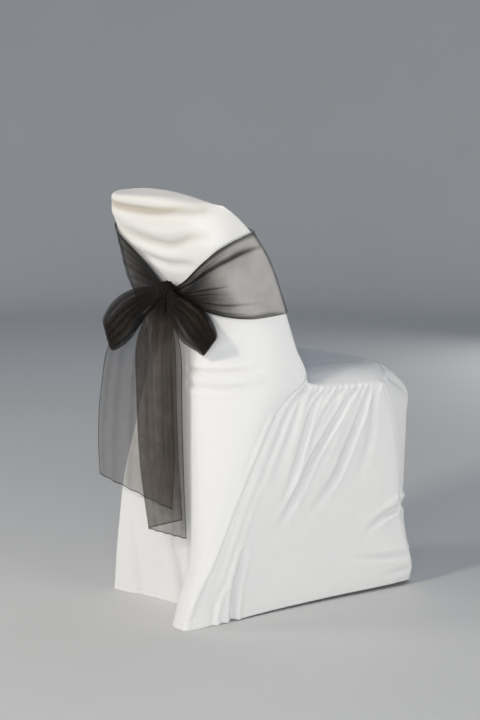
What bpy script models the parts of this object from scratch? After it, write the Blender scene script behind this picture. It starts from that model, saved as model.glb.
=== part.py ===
"""Fitted chair cover with a sheer sash tied in a bow behind its back.

Lengths are in metres and +Z is up. The cover's seat faces -Y and its rear faces +Y. The near
side is -X and the far side +X. Tables give heights above the floor, and the model's origin is
the point under the crown where the cover rests on the chair's top rail.
"""
import bmesh
import bpy
import numpy as np

# Driving dimensions.
REST_HEIGHT = 0.888       # top of the chair's back rail above the floor
REST_DEPTH = 0.180        # how far that rail lies behind the front edge of the back
CLOTH = 0.002             # thickness of the cover's polyester
ORGANZA = 0.0012          # thickness of the sash
SEAM_GAP = 0.0007         # space between two panels that meet flat at a seam
CROWN_GAP = 0.0036        # space at the seam along the crown
GATHER_GAP = 0.0030       # space between a gathered skirt's top and the seat
SASH_CLEARANCE = 0.0065   # how far the sash stands off the cover
HEM_RISE = 0.0015         # how far the side hems rise in the middle
HEM_PULL = 0.010          # how far they are drawn in there
CROWN_HALF_WIDTH = 0.17   # where the crown has dropped by its full amount
CROWN_PEAK_X = 0.04       # the crown's highest point, a little to the far side

# Rear panel: one row for each level, from the hem to the crown seam. A row holds the height in
# the middle, how much lower the shoulders are, and the (x, y) of eight upright lines: the near
# seam, the near edge of the back, the crest of the long near fold, the hollow beside it, the
# middle, the far corner, the far edge and the far seam.
REAR_ROWS = (
    (0.000, 0.000, (-.164, .235), (-.155, .250), (-.112, .243), (-.060, .166), (.040, .170),
     (.160, .219), (.173, .207), (.170, .180)),
    (0.060, 0.000, (-.168, .217), (-.160, .235), (-.118, .230), (-.064, .170), (.040, .172),
     (.161, .214), (.178, .200), (.177, .168)),
    (0.140, 0.000, (-.179, .179), (-.166, .200), (-.124, .205), (-.074, .176), (.040, .173),
     (.164, .205), (.185, .187), (.186, .148)),
    (0.250, 0.000, (-.190, .136), (-.174, .169), (-.128, .197), (-.078, .179), (.040, .172),
     (.167, .190), (.192, .166), (.196, .117)),
    (0.360, 0.000, (-.199, .088), (-.184, .137), (-.126, .190), (-.078, .178), (.040, .171),
     (.158, .166), (.197, .137), (.204, .080)),
    (0.440, 0.000, (-.205, .050), (-.192, .112), (-.124, .186), (-.076, .177), (.040, .171),
     (.136, .159), (.194, .118), (.208, .046)),
    (0.476, 0.000, (-.207, .016), (-.196, .096), (-.124, .184), (-.072, .177), (.040, .171),
     (.122, .155), (.189, .109), (.207, .016)),
    (0.510, 0.000, (-.207, -.024), (-.199, .082), (-.130, .180), (-.066, .176), (.040, .171),
     (.119, .152), (.188, .103), (.207, -.024)),
    (0.575, 0.000, (-.206, .002), (-.200, .083), (-.136, .174), (-.062, .175), (.040, .172),
     (.125, .153), (.192, .106), (.208, .002)),
    (0.650, 0.000, (-.205, .028), (-.200, .105), (-.152, .167), (-.060, .170), (.040, .171),
     (.150, .161), (.199, .126), (.208, .028)),
    (0.715, 0.001, (-.204, .050), (-.199, .138), (-.152, .181), (-.060, .184), (.040, .185),
     (.166, .178), (.201, .150), (.208, .050)),
    (0.770, 0.004, (-.202, .071), (-.197, .160), (-.150, .196), (-.060, .202), (.040, .203),
     (.170, .193), (.200, .154), (.204, .071)),
    (0.822, 0.008, (-.199, .100), (-.193, .174), (-.146, .208), (-.060, .215), (.040, .216),
     (.166, .208), (.196, .174), (.201, .104)),
    (0.855, 0.011, (-.194, .123), (-.187, .178), (-.142, .211), (-.060, .219), (.040, .221),
     (.164, .219), (.195, .194), (.200, .136)),
    (0.879, 0.013, (-.188, .145), (-.180, .178), (-.138, .203), (-.060, .211), (.040, .213),
     (.162, .218), (.193, .207), (.199, .168)),
    (0.895, 0.014, (-.181, .165), (-.164, .175), (-.126, .181), (-.056, .183), (.036, .184),
     (.152, .190), (.180, .196), (.195, .192)),
)
REAR_LINES = 8            # upright lines in each row of REAR_ROWS
SEAT_JUNCTION_ROW = 7     # the row of REAR_ROWS where the back meets the seat

# Front panel: one row for each level up the front skirt and back across the seat. A row holds
# y and z in the middle of the panel, y and z at its seams, half its width, and the power with
# which the cloth turns from its middle to its seams.
FRONT_ROWS = (
    (-.368, .000, -.343, .010, .162, 8),
    (-.353, .050, -.343, .053, .175, 8),
    (-.339, .160, -.307, .160, .181, 8),
    (-.335, .280, -.288, .280, .193, 8),
    (-.346, .385, -.265, .385, .202, 8),
    (-.347, .438, -.246, .436, .205, 8),
    (-.327, .480, -.236, .464, .206, 5),
    (-.290, .506, -.226, .480, .207, 4),
    (-.232, .518, -.196, .483, .207, 7),
    (-.150, .521, -.140, .486, .207, 8),
    (-.070, .516, -.080, .488, .207, 7),
    (-.018, .512, -.034, .497, .207, 4),
)
FRONT_SKIRT_ROWS = 8      # rows of FRONT_ROWS up to the seat's front edge
BACK_BULGE = 0.012        # how far the inner back swells forward in the middle

# Soft folds of the cover: the (u, v) where a fold starts and where it ends, its width and its
# depth, in a panel's own unit square. There u runs from the near or rear seam, and v up from
# the hem. The depth is inward.
REAR_FOLDS = (
    ((.34, .965), (.90, .965), .022, .0060),
    ((.40, .900), (.86, .905), .024, .0060),
    ((.46, .840), (.78, .845), .020, .0040),
    ((.20, .585), (.62, .580), .020, .0040),
    ((.20, .540), (.60, .538), .018, .0035),
)
SIDE_FOLDS = (
    ((.10, .95), (.10, .25), .050, .0060),
    ((.30, .97), (.20, .45), .045, .0060),
    ((.50, .97), (.34, .50), .045, .0075),
    ((.68, .97), (.48, .45), .045, .0080),
    ((.86, .97), (.64, .45), .045, .0070),
    ((.98, .30), (.82, .22), .050, .0060),
    ((.12, .22), (.10, .00), .040, .0080),
)

# Sash round the back, from the knot past the near side, across the inner back and past the far
# side to the knot again: one row for each place, with the levels of the sash's two edges there
# and how far the cloth is pulled off the cover. A place counts the rear panel's lines from the
# near end to the near seam, the way across the inner back as one more, and the lines from the
# far seam to the far end.
SASH_ROWS = (
    (0.00, .671, .699, .010),
    (0.50, .664, .724, .007),
    (1.10, .654, .760, .003),
    (1.50, .647, .780, .001),
    (1.80, .644, .794, .000),
    (2.10, .643, .806, .000),
    (2.50, .645, .822, .000),
    (3.10, .649, .834, .000),
    (3.60, .652, .832, .000),
    (4.10, .651, .832, .000),
    (4.60, .648, .832, .000),
    (5.10, .647, .828, .000),
    (5.60, .650, .821, .000),
    (6.10, .656, .806, .000),
    (6.60, .664, .776, .002),
    (7.10, .670, .734, .006),
    (7.44, .673, .702, .010),
)
SASH_NEAR_END = 3.10      # where the sash leaves the knot, counted in the rear panel's lines
SASH_PLEAT = 0.003        # depth of the pleats that run out of the knot
SASH_PLEATS = 3           # pleats across the sash at the knot
KNOT_CENTRE = (-.022, .199, .686)
KNOT_RADII = (.0250, .0150, .0230)
KNOT_WRAPS = 3            # turns of cloth that show as ridges on the knot
KNOT_RIDGE = 0.06         # height of a ridge as a share of the knot's radius

# Bow loops: the middle of the cloth and its width, from the knot out to the loop's fold and
# back. "Across" is the direction across the cloth.
LOOP_NEAR_ROWS = (
    ((-.051, .211, .684), .026),
    ((-.086, .218, .660), .066),
    ((-.128, .209, .626), .094),
    ((-.160, .197, .598), .072),
    ((-.169, .190, .589), .058),
    ((-.158, .186, .596), .070),
    ((-.122, .189, .624), .086),
    ((-.084, .196, .655), .058),
    ((-.051, .200, .678), .024),
)
LOOP_NEAR_ACROSS = (.72, .05, -.69)
LOOP_FAR_ROWS = (
    ((.007, .211, .684), .026),
    ((.048, .232, .660), .064),
    ((.098, .247, .620), .088),
    ((.140, .250, .586), .078),
    ((.152, .245, .574), .066),
    ((.142, .238, .580), .074),
    ((.094, .229, .614), .084),
    ((.044, .215, .652), .056),
    ((.007, .202, .678), .024),
)
LOOP_FAR_ACROSS = (-.62, .10, -.78)
LOOP_PLEAT = 0.0025       # depth of the pleats along a loop
LOOP_PLEATS = 2           # pleats across a loop

# Tails: one row for each level below the knot, with the cloth's far edge and its near edge.
TAIL_FAR_ROWS = (
    ((-.004, .198, .656), (-.034, .196, .656)),
    ((.066, .212, .626), (-.018, .187, .622)),
    ((.176, .225, .556), (-.010, .183, .550)),
    ((.200, .237, .450), (-.014, .183, .430)),
    ((.205, .242, .350), (-.016, .182, .310)),
    ((.194, .245, .262), (-.004, .181, .214)),
)
TAIL_NEAR_ROWS = (
    ((-.010, .216, .655), (-.040, .212, .655)),
    ((.026, .234, .620), (-.068, .207, .622)),
    ((.042, .243, .556), (-.086, .205, .560)),
    ((.044, .241, .470), (-.089, .206, .470)),
    ((.033, .242, .330), (-.092, .206, .330)),
    ((-.001, .241, .182), (-.102, .206, .176)),
)
TAIL_LAYERS_APART = 0.010   # between the two layers of the folded near tail
TAIL_BACK_SHARE = 0.80    # width of its rear layer as a share of the front one
TAIL_BACK_RISE = 0.034    # how much higher its free edge ends
TAIL_PLEAT = 0.003        # depth of the tails' upright pleats
TAIL_PLEATS = 2.5         # pleats across a tail

# How finely each piece is drawn: points along it and across it.
STEPS_PER_ROW = 2         # grid rows for each row of REAR_ROWS and FRONT_ROWS
REAR_ACROSS = 21
FRONT_ACROSS = (-1, -.93, -.84, -.68, -.35, 0, .35, .68, .84, .93, 1)
SIDE_NEAR_ACROSS = 25
SIDE_FAR_ACROSS = 17
CROWN_SAMPLES = 71        # points of the crown seam that the front panel is fitted to
SASH_ALONG = 49
SASH_ACROSS = 7
KNOT_RINGS = 9
KNOT_SIDES = 14
LOOP_ALONG = 15
LOOP_ACROSS = 5
TAIL_ALONG = 10
TAIL_FAR_ACROSS = 8
TAIL_FRONT_ACROSS = 6     # the near tail's front layer
TAIL_BACK_ACROSS = 5      # its rear layer

POLYESTER_COLOUR = (0.82, 0.81, 0.79)
POLYESTER_ROUGHNESS = 0.7
ORGANZA_COLOUR = (0.02, 0.018, 0.017)
ORGANZA_ROUGHNESS = 0.5
SHARP_EDGE = 50           # degrees past which an edge is drawn sharp


def through(rows, positions):
    """Catmull-Rom curve through the rows, read at fractional row numbers."""
    rows = np.asarray(rows, float)
    first = np.clip(np.floor(positions).astype(int), 0, len(rows) - 2)
    part = (positions - first).reshape((-1,) + (1,) * (rows.ndim - 1))
    before = rows[np.maximum(first - 1, 0)]
    start, end = rows[first], rows[first + 1]
    after = rows[np.minimum(first + 2, len(rows) - 1)]
    return 0.5 * (2 * start + (end - before) * part
                  + (2 * before - 5 * start + 4 * end - after) * part ** 2
                  + (3 * start - before - 3 * end + after) * part ** 3)


def finer_rows(count):
    """Fractional row numbers of a grid that is finer than a table of so many rows."""
    return np.linspace(0, count - 1, STEPS_PER_ROW * (count - 1) + 1)


def surface(net, row_positions, column_positions):
    """Smooth surface through a net of points, as a grid of rows and columns."""
    lengthwise = through(net, row_positions)
    return through(lengthwise.swapaxes(0, 1), column_positions).swapaxes(0, 1)


def normals(grid):
    """Unit normals of a grid: the way along its rows crossed with the way up its columns."""
    crossed = np.cross(np.gradient(grid, axis=1), np.gradient(grid, axis=0))
    return crossed / np.linalg.norm(crossed, axis=2, keepdims=True)


def creased(grid, folds, outward):
    """Press soft troughs into a grid, each along a straight line in its unit square."""
    v, u = np.meshgrid(np.linspace(0, 1, grid.shape[0]), np.linspace(0, 1, grid.shape[1]),
                       indexing="ij")
    depth = np.zeros_like(u)
    for start, end, width, trough in folds:
        line = np.subtract(end, start)
        length = line @ line
        along = ((u - start[0]) * line[0] + (v - start[1]) * line[1]) / length
        nearest = np.clip(along, 0, 1)
        apart = np.hypot(u - start[0] - nearest * line[0], v - start[1] - nearest * line[1])
        depth += trough * np.exp(-(apart / width) ** 2)
    return grid - outward * normals(grid) * depth[..., None]


def pulled_in(grid, sides=0.0, bottom=0.0, top=0.0):
    """Draw the border of a grid in along the cloth, by a length or one length for each row."""
    grid = grid.copy()
    sides = np.broadcast_to(sides, grid.shape[0])[:, None]
    for border, inner in ((0, 1), (-1, -2)):
        way = grid[:, inner] - grid[:, border]
        grid[:, border] += sides * way / np.linalg.norm(way, axis=1, keepdims=True)
    for border, inner, length in ((0, 1, bottom), (-1, -2, top)):
        way = grid[inner] - grid[border]
        grid[border] += length * way / np.linalg.norm(way, axis=1, keepdims=True)
    return grid


def fabric(name, colour, roughness):
    """A plain cloth material."""
    material = bpy.data.materials.new(name)
    material.use_nodes = True
    shader = material.node_tree.nodes["Principled BSDF"]
    shader.inputs["Base Color"].default_value = (*colour, 1.0)
    shader.inputs["Roughness"].default_value = roughness
    material.diffuse_color = (*colour, 1.0)
    return material


def add_object(name, points, faces, material):
    """Make a mesh object from points above the floor, closed and facing outward."""
    points = np.asarray(points) - (0, REST_DEPTH, REST_HEIGHT)
    mesh = bpy.data.meshes.new(name)
    mesh.from_pydata(points.tolist(), [], faces)
    shell = bmesh.new()
    shell.from_mesh(mesh)
    bmesh.ops.recalc_face_normals(shell, faces=shell.faces)
    shell.to_mesh(mesh)
    shell.free()
    mesh.materials.append(material)
    mesh.shade_smooth()
    mesh.set_sharp_from_angle(angle=np.radians(SHARP_EDGE))
    item = bpy.data.objects.new(name, mesh)
    bpy.context.collection.objects.link(item)
    return item


def add_sheet(name, outer, inner, material):
    """Close two matching grids into one thin body with a rim."""
    rows, columns = outer.shape[:2]
    index = np.arange(rows * columns).reshape(rows, columns)
    quads = np.stack([index[:-1, :-1], index[:-1, 1:], index[1:, 1:], index[1:, :-1]], -1)
    quads = quads.reshape(-1, 4)
    border = np.concatenate([index[0], index[1:, -1], index[-1, -2::-1], index[-2:0:-1, 0]])
    following = np.roll(border, -1)
    far = rows * columns
    rim = np.stack([following, border, border + far, following + far], -1)
    faces = np.concatenate([quads, quads[:, ::-1] + far, rim]).tolist()
    points = np.concatenate([outer.reshape(-1, 3), inner.reshape(-1, 3)])
    return add_object(name, points, faces, material)


def add_panel(name, grid, material, outward):
    """A cover panel with the grid as its inner face: outward is -1 if its normals point in."""
    return add_sheet(name, grid + outward * CLOTH * normals(grid), grid, material)


def add_ribbon(name, grid, material):
    """A piece of the sash with the grid in the middle of its thickness."""
    half = 0.5 * ORGANZA * normals(grid)
    return add_sheet(name, grid + half, grid - half, material)


def crown_drop(x, drop):
    """How far the crown has fallen at x, for the drop of its shoulders."""
    return drop * ((x - CROWN_PEAK_X) / CROWN_HALF_WIDTH) ** 2


def rear_net():
    """Net of (x, y, z) points of the rear panel, from REAR_ROWS."""
    plan = np.array([row[2:] for row in REAR_ROWS])
    level = np.array([row[0] for row in REAR_ROWS])[:, None]
    drop = np.array([row[1] for row in REAR_ROWS])[:, None]
    height = level - crown_drop(plan[..., 0], drop)
    return np.dstack([plan, height])


def front_net(across):
    """Net of points of the front panel at places across it, -1 near to 1 far."""
    middle_y, middle_z, seam_y, seam_z, half, power = np.array(FRONT_ROWS).T[..., None]
    turn = np.abs(across) ** power
    lower = np.stack([half * across, middle_y + (seam_y - middle_y) * turn,
                      middle_z + (seam_z - middle_z) * turn], -1)
    seams = rear_net()[SEAT_JUNCTION_ROW:, [0, -1]]
    share = (across + 1) / 2
    upper = seams[:, :1] * (1 - share)[:, None] + seams[:, 1:] * share[:, None]
    level = np.array([row[0] for row in REAR_ROWS[SEAT_JUNCTION_ROW:]])[:, None]
    drop = np.array([row[1] for row in REAR_ROWS[SEAT_JUNCTION_ROW:]])[:, None]
    upper[..., 2] = level - crown_drop(upper[..., 0], drop)
    upper[..., 1] -= BACK_BULGE * (1 - across ** 2) * np.linspace(1, 0, len(upper))[:, None] ** 0.5
    crown = through(rear_net()[-1], np.linspace(0, REAR_LINES - 1, CROWN_SAMPLES))
    upper[-1, :, 1] = np.interp(upper[-1, :, 0], crown[:, 0], crown[:, 1])
    return np.concatenate([lower, upper])


def side_grid(side, rows, columns):
    """Patch of a side skirt, blended from its hem, its two seams and the seat's edge."""
    seam = 0 if side < 0 else -1
    rear = through(rear_net()[:, seam], np.linspace(0, SEAT_JUNCTION_ROW, rows))
    edge = np.array(front_net(np.array([float(side)]))[:len(FRONT_ROWS), 0])
    front = through(edge, np.linspace(0, FRONT_SKIRT_ROWS - 1, rows))
    top = through(edge, np.linspace(len(FRONT_ROWS) - 1, FRONT_SKIRT_ROWS - 1, columns))
    rear[-1], front[-1] = top[0], top[-1]
    share = np.linspace(0, 1, columns)[:, None]
    hem = rear[0] * (1 - share) + front[0] * share
    hem += np.sin(np.pi * share) * (-side * HEM_PULL, 0, HEM_RISE)
    u = share[None]
    v = np.linspace(0, 1, rows)[:, None, None]
    ruled = rear[:, None] * (1 - u) + front[:, None] * u
    rising = hem[None] * (1 - v) + top[None] * v
    corners = ((hem[0] * (1 - u) + hem[-1] * u) * (1 - v) + (top[0] * (1 - u) + top[-1] * u) * v)
    return ruled + rising - corners


def add_rear_panel(material):
    """Rear of the back and skirt in one piece, wrapped forward round the sides of the back."""
    rows = finer_rows(len(REAR_ROWS))
    columns = np.linspace(0, REAR_LINES - 1, REAR_ACROSS)
    grid = creased(surface(rear_net(), rows, columns), REAR_FOLDS, outward=-1)
    return add_panel("rear_panel", grid, material, outward=-1)


def add_front_panel(material):
    """Front skirt, seat and inner back in one strip."""
    net = front_net(np.array(FRONT_ACROSS))
    rows = finer_rows(len(net))
    near_crown = rows >= len(net) - 2
    grid = through(net, rows)
    grid = pulled_in(grid, sides=np.where(near_crown, CROWN_GAP, SEAM_GAP), top=CROWN_GAP)
    return add_panel("front_panel", grid, material, outward=1)


def add_side_skirt(name, side, columns, material):
    """Skirt panel gathered into the seat's edge and sewn to the front and rear panels."""
    rows = STEPS_PER_ROW * SEAT_JUNCTION_ROW + 1
    grid = creased(side_grid(side, rows, columns), SIDE_FOLDS, -side)
    grid = pulled_in(grid, sides=SEAM_GAP, top=GATHER_GAP)
    return add_panel(name, grid, material, outward=-side)


def ring_line(place):
    """Upright line of points round the back, by level, at a place counted as in SASH_ROWS."""
    front_start = SASH_NEAR_END
    far_start = front_start + 1
    if front_start < place < far_start:
        across = 2 * (place - front_start) - 1
        return front_net(np.array([across]))[len(FRONT_ROWS):, 0]
    if place <= front_start:
        line = front_start - place
    else:
        line = REAR_LINES - 1 - (place - far_start)
    return through(rear_net().swapaxes(0, 1), np.array([line]))[0, SEAT_JUNCTION_ROW:]


def pleated(grid, depth, pleats):
    """Ripple a grid across its width, by one depth or one for each row, deepest in the middle."""
    share = np.linspace(0, 1, grid.shape[1])
    ripple = np.sin(2 * np.pi * pleats * share) * np.sin(np.pi * share) ** 0.5
    return grid + normals(grid) * (np.reshape(depth, (-1, 1)) * ripple)[..., None]


def add_sash_band(material):
    """The sash from the knot, once round the back, to the knot."""
    stations = through(SASH_ROWS, np.linspace(0, len(SASH_ROWS) - 1, SASH_ALONG))
    levels = [row[0] for row in REAR_ROWS[SEAT_JUNCTION_ROW:]]
    share = np.linspace(0, 1, SASH_ACROSS)
    grid = np.array([through(ring_line(place),
                             np.interp(low + share * (high - low), levels, range(len(levels))))
                     for place, low, high, lift in stations])
    lift = stations[:, 3:4, None]
    grid = grid - normals(grid) * (SASH_CLEARANCE + lift)
    grid = pleated(grid, SASH_PLEAT * np.minimum(stations[:, 3] / SASH_ROWS[0][3], 1), SASH_PLEATS)
    return add_ribbon("sash_band", grid, material)


def add_sash_knot(material):
    """The knot: a rounded lump with the ridges of the cloth wrapped over it."""
    shell = bmesh.new()
    bmesh.ops.create_uvsphere(shell, u_segments=KNOT_SIDES, v_segments=KNOT_RINGS, radius=1)
    points = np.array([corner.co[:] for corner in shell.verts])
    faces = [[corner.index for corner in face.verts] for face in shell.faces]
    shell.free()
    ridge = 1 + KNOT_RIDGE * np.cos(np.pi * KNOT_WRAPS * points[:, :1])
    return add_object("sash_knot", points * ridge * KNOT_RADII + KNOT_CENTRE, faces, material)


def add_bow_loop(name, rows, across, material):
    """One loop of the bow: the cloth goes out from the knot, turns and comes back."""
    stations = np.linspace(0, len(rows) - 1, LOOP_ALONG)
    middle = through([row[0] for row in rows], stations)
    width = through([row[1] for row in rows], stations)
    share = np.linspace(-0.5, 0.5, LOOP_ACROSS)
    grid = middle[:, None] + (width[:, None] * share)[..., None] * np.array(across)
    return add_ribbon(name, pleated(grid, LOOP_PLEAT, LOOP_PLEATS), material)


def add_far_tail(material):
    """The tail that hangs open, in one layer."""
    edges = through(TAIL_FAR_ROWS, np.linspace(0, len(TAIL_FAR_ROWS) - 1, TAIL_ALONG))
    share = np.linspace(0, 1, TAIL_FAR_ACROSS)[None, :, None]
    grid = edges[:, :1] * (1 - share) + edges[:, 1:] * share
    return add_ribbon("sash_tail_far", pleated(grid, TAIL_PLEAT, TAIL_PLEATS), material)


def add_near_tail(material):
    """The tail that hangs folded in two: a front layer, the fold and a narrower rear layer."""
    edges = through(TAIL_NEAR_ROWS, np.linspace(0, len(TAIL_NEAR_ROWS) - 1, TAIL_ALONG))
    fold, edge = edges[:, :1], edges[:, 1:]
    front_share = np.linspace(1, 0, TAIL_FRONT_ACROSS)
    back_share = np.linspace(0, TAIL_BACK_SHARE, TAIL_BACK_ACROSS)
    front = fold + (edge - fold) * front_share[None, :, None]
    back = fold + (edge - fold) * back_share[None, :, None]
    back[..., 1] -= TAIL_LAYERS_APART
    slant = back_share / TAIL_BACK_SHARE
    back[..., 2] += TAIL_BACK_RISE * slant * np.linspace(0, 1, len(edges))[:, None] ** 3
    turn = (fold + back[:, :1]) / 2
    turn[..., 0] += TAIL_LAYERS_APART / 2
    grid = np.concatenate([front, turn, back], axis=1)
    return add_ribbon("sash_tail_near", grid, material)


def build():
    """Make every piece of the cover and the sash."""
    for item in list(bpy.context.scene.objects):
        bpy.data.objects.remove(item, do_unlink=True)
    polyester = fabric("white polyester", POLYESTER_COLOUR, POLYESTER_ROUGHNESS)
    organza = fabric("black organza", ORGANZA_COLOUR, ORGANZA_ROUGHNESS)
    add_rear_panel(polyester)
    add_front_panel(polyester)
    add_side_skirt("side_skirt_near", -1, SIDE_NEAR_ACROSS, polyester)
    add_side_skirt("side_skirt_far", 1, SIDE_FAR_ACROSS, polyester)
    add_sash_band(organza)
    add_sash_knot(organza)
    add_bow_loop("bow_loop_near", LOOP_NEAR_ROWS, LOOP_NEAR_ACROSS, organza)
    add_bow_loop("bow_loop_far", LOOP_FAR_ROWS, LOOP_FAR_ACROSS, organza)
    add_far_tail(organza)
    add_near_tail(organza)


build()
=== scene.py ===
"""Fitted chair cover with a sheer sash tied in a bow behind its back.

The cover's seat faces -Y and its rear faces +Y, where the bow hangs. The near side is -X and the
far side +X. Every table below gives metres above the floor, and metres behind the front of the
back; each mesh is then moved so that the origin is where the crown rests on the chair's rail.
"""

import bpy
import numpy as np
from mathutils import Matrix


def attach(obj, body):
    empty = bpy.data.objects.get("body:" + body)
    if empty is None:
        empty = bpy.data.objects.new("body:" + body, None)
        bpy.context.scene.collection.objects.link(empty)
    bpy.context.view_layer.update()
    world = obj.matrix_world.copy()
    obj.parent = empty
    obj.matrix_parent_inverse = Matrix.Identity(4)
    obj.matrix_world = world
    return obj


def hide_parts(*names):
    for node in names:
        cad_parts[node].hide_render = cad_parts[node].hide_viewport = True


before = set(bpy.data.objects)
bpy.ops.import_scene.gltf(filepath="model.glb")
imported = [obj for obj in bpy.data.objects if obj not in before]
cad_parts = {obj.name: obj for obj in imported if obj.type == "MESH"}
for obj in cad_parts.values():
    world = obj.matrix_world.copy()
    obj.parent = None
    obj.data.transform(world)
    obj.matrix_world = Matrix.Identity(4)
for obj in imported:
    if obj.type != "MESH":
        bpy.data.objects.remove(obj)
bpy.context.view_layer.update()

# --------------------------------------------------
# Rear panel: white stretch polyester, one piece for the rear of the back and of the skirt. It is
# pulled forward round the sides of the back, gathered a little into the seams there, and hemmed
# at the floor. A long fold stands off the near rear leg, with a soft hollow beside it.

REST_POINT = (0.0, 0.180, 0.888)    # where the crown rests on the chair's rail, above the floor

# Each row is one level: height in the middle, how much lower the shoulders are, then (x, y) of
# the near seam, the near edge of the back, the crest of the long fold, the hollow beside it, the
# middle, the far corner, the far edge and the far seam.
REAR_LEVELS = (
    (0.000, 0.000, (-.164, .235), (-.155, .250), (-.112, .243), (-.060, .166), (.040, .170),
     (.160, .219), (.173, .207), (.170, .180)),
    (0.060, 0.000, (-.168, .217), (-.160, .235), (-.118, .230), (-.064, .170), (.040, .172),
     (.161, .214), (.178, .200), (.177, .168)),
    (0.140, 0.000, (-.179, .179), (-.166, .200), (-.124, .205), (-.068, .175), (.040, .173),
     (.164, .205), (.185, .187), (.186, .148)),
    (0.250, 0.000, (-.190, .136), (-.174, .169), (-.128, .197), (-.068, .177), (.040, .172),
     (.167, .190), (.192, .166), (.196, .117)),
    (0.360, 0.000, (-.199, .088), (-.184, .137), (-.126, .190), (-.066, .176), (.040, .171),
     (.158, .166), (.197, .137), (.204, .080)),
    (0.440, 0.000, (-.205, .050), (-.192, .112), (-.124, .186), (-.065, .175), (.040, .171),
     (.136, .159), (.194, .118), (.208, .046)),
    (0.476, 0.000, (-.207, .016), (-.196, .096), (-.124, .184), (-.064, .175), (.040, .171),
     (.122, .155), (.189, .109), (.207, .016)),
    (0.510, 0.000, (-.207, -.024), (-.199, .082), (-.130, .180), (-.066, .176), (.040, .171),
     (.119, .152), (.188, .103), (.207, -.024)),
    (0.575, 0.000, (-.206, .002), (-.200, .083), (-.136, .174), (-.062, .175), (.040, .172),
     (.125, .153), (.192, .106), (.208, .002)),
    (0.650, 0.000, (-.205, .028), (-.200, .105), (-.152, .167), (-.060, .170), (.040, .171),
     (.150, .161), (.199, .126), (.208, .028)),
    (0.715, 0.001, (-.204, .050), (-.199, .138), (-.152, .181), (-.060, .184), (.040, .185),
     (.166, .178), (.201, .150), (.208, .050)),
    (0.770, 0.004, (-.202, .071), (-.197, .160), (-.150, .196), (-.060, .202), (.040, .203),
     (.170, .193), (.200, .154), (.204, .071)),
    (0.822, 0.008, (-.199, .100), (-.193, .174), (-.146, .208), (-.060, .215), (.040, .216),
     (.166, .208), (.196, .174), (.201, .104)),
    (0.855, 0.011, (-.194, .123), (-.187, .178), (-.142, .211), (-.060, .219), (.040, .221),
     (.164, .219), (.195, .194), (.200, .136)),
    (0.879, 0.013, (-.188, .145), (-.180, .178), (-.138, .203), (-.060, .211), (.040, .213),
     (.162, .218), (.193, .207), (.199, .168)),
    (0.895, 0.014, (-.181, .165), (-.164, .175), (-.126, .181), (-.056, .183), (.036, .184),
     (.152, .190), (.180, .196), (.195, .192)),
)
SEAT_LEVEL = 7            # the row of REAR_LEVELS where the back meets the seat
CROWN_HALF_WIDTH = 0.17   # where the crown has dropped by its full amount
CROWN_PEAK_X = 0.04       # the crown's highest point, a little to the far side


def spline_weights(positions, count):
    """Matrix of Catmull-Rom weights: row i gives how much each of the points counts at
    positions[i], a fractional point number."""
    positions = np.asarray(positions, float)
    first = np.clip(np.floor(positions).astype(int), 0, count - 2)
    t = positions - first
    shares = ((2 * t ** 2 - t - t ** 3) / 2, (2 - 5 * t ** 2 + 3 * t ** 3) / 2,
              (t + 4 * t ** 2 - 3 * t ** 3) / 2, (t ** 3 - t ** 2) / 2)
    weights = np.zeros((len(positions), count))
    for step, share in zip((-1, 0, 1, 2), shares):
        np.add.at(weights, (np.arange(len(positions)), np.clip(first + step, 0, count - 1)), share)
    return weights


def curve(points, count):
    """The smooth curve through rows of points, at even steps from the first row to the last."""
    positions = np.linspace(0, len(points) - 1, count)
    return np.tensordot(spline_weights(positions, len(points)), np.array(points), 1)


def crown_drop(x, drop):
    """The crown falls with the square of the distance from its peak."""
    return drop * ((x - CROWN_PEAK_X) / CROWN_HALF_WIDTH) ** 2


def rear_points():
    """The points of REAR_LEVELS as rows of (x, y, z)."""
    plan = np.array([row[2:] for row in REAR_LEVELS])
    level, drop = np.array([row[:2] for row in REAR_LEVELS]).T[..., None]
    return np.dstack([plan, level - crown_drop(plan[..., 0], drop)])


def rear_cloth(u, v):
    """Points of the rear panel at pairs of shares: u from the near seam to the far one and v
    from the hem to the crown, through the table's points both ways."""
    points = rear_points()
    across = spline_weights(np.ravel(u) * (points.shape[1] - 1), points.shape[1])
    up = spline_weights(np.ravel(v) * (len(points) - 1), len(points))
    return np.einsum("pi,pj,ijk->pk", up, across, points).reshape(np.shape(u) + (3,))


def evenly(line, count):
    """Shares at which a line, a function of a share, is cut into equal lengths."""
    share = np.linspace(0, 1, 600)
    steps = np.linalg.norm(np.diff(line(share), axis=0), axis=1)
    run = np.concatenate([[0], np.cumsum(steps)])
    return np.interp(np.linspace(0, run[-1], count), run, share)


def even_grid(cloth, rows, columns, level):
    """Grids of u and v at equal lengths along the cloth at a level and up its middle."""
    u = evenly(lambda share: cloth(share, np.full_like(share, level)), columns)
    v = evenly(lambda share: cloth(np.full_like(share, 0.5), share), rows)
    return np.meshgrid(u, v)


def relaxed(points, times):
    """Average each inner point with its four neighbours, so that kinks become soft bends."""
    points = points.copy()
    for _ in range(times):
        around = points[:-2, 1:-1] + points[2:, 1:-1] + points[1:-1, :-2] + points[1:-1, 2:]
        points[1:-1, 1:-1] = (points[1:-1, 1:-1] + around / 4) / 2
    return points


def outward(points, side):
    """Unit normals of a grid: the way along its rows crossed with the way up its columns. side
    is -1 where that points into the cover."""
    crossed = np.cross(np.gradient(points, axis=1), np.gradient(points, axis=0))
    return side * crossed / np.maximum(np.linalg.norm(crossed, axis=2, keepdims=True), 1e-12)


def lengths(points, axis):
    """Length along the cloth from the first row or column to each point."""
    steps = np.linalg.norm(np.diff(points, axis=axis), axis=2)
    return np.concatenate([np.zeros_like(np.take(steps, [0], axis)), np.cumsum(steps, axis)], axis)


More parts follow.
